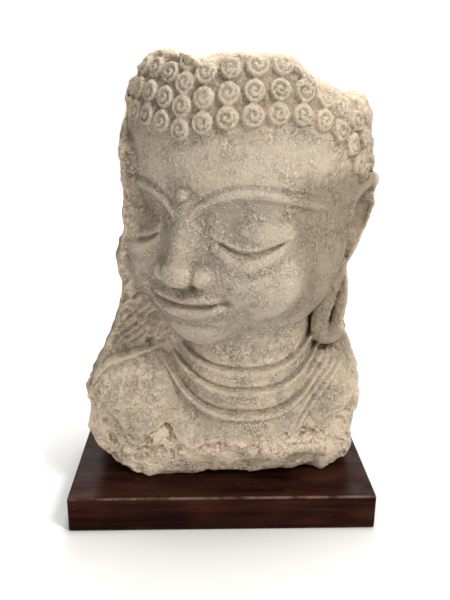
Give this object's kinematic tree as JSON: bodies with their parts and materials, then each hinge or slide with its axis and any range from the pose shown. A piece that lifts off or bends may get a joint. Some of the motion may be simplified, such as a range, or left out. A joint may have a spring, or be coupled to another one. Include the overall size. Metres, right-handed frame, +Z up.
{
  "type": "buddha face sculpture",
  "caption": "Broken stone head and upper chest of a Buddha, turned to one side, with curled hair and a long ear lobe, standing on a rectangular wooden plinth.",
  "frame": {"origin": "centre of the plinth's underside", "axes": "+Z up; -Y the way the chest faces; +X to the viewer's right when the chest is seen from the front"},
  "size_m": [0.4, 0.25, 0.5949],
  "materials": {
    "stone": "grainy warm grey-beige stone with fine dark pitting, greyer on the face, pale cream on the breaks, matt",
    "dark_wood": "dark red-brown hardwood with faint grain, polished to a low sheen, lightly worn along its edges"
  },
  "bodies": {
    "root": {"stone_bust": "stone", "wooden_plinth": "dark_wood"}
  },
  "joints": []
}
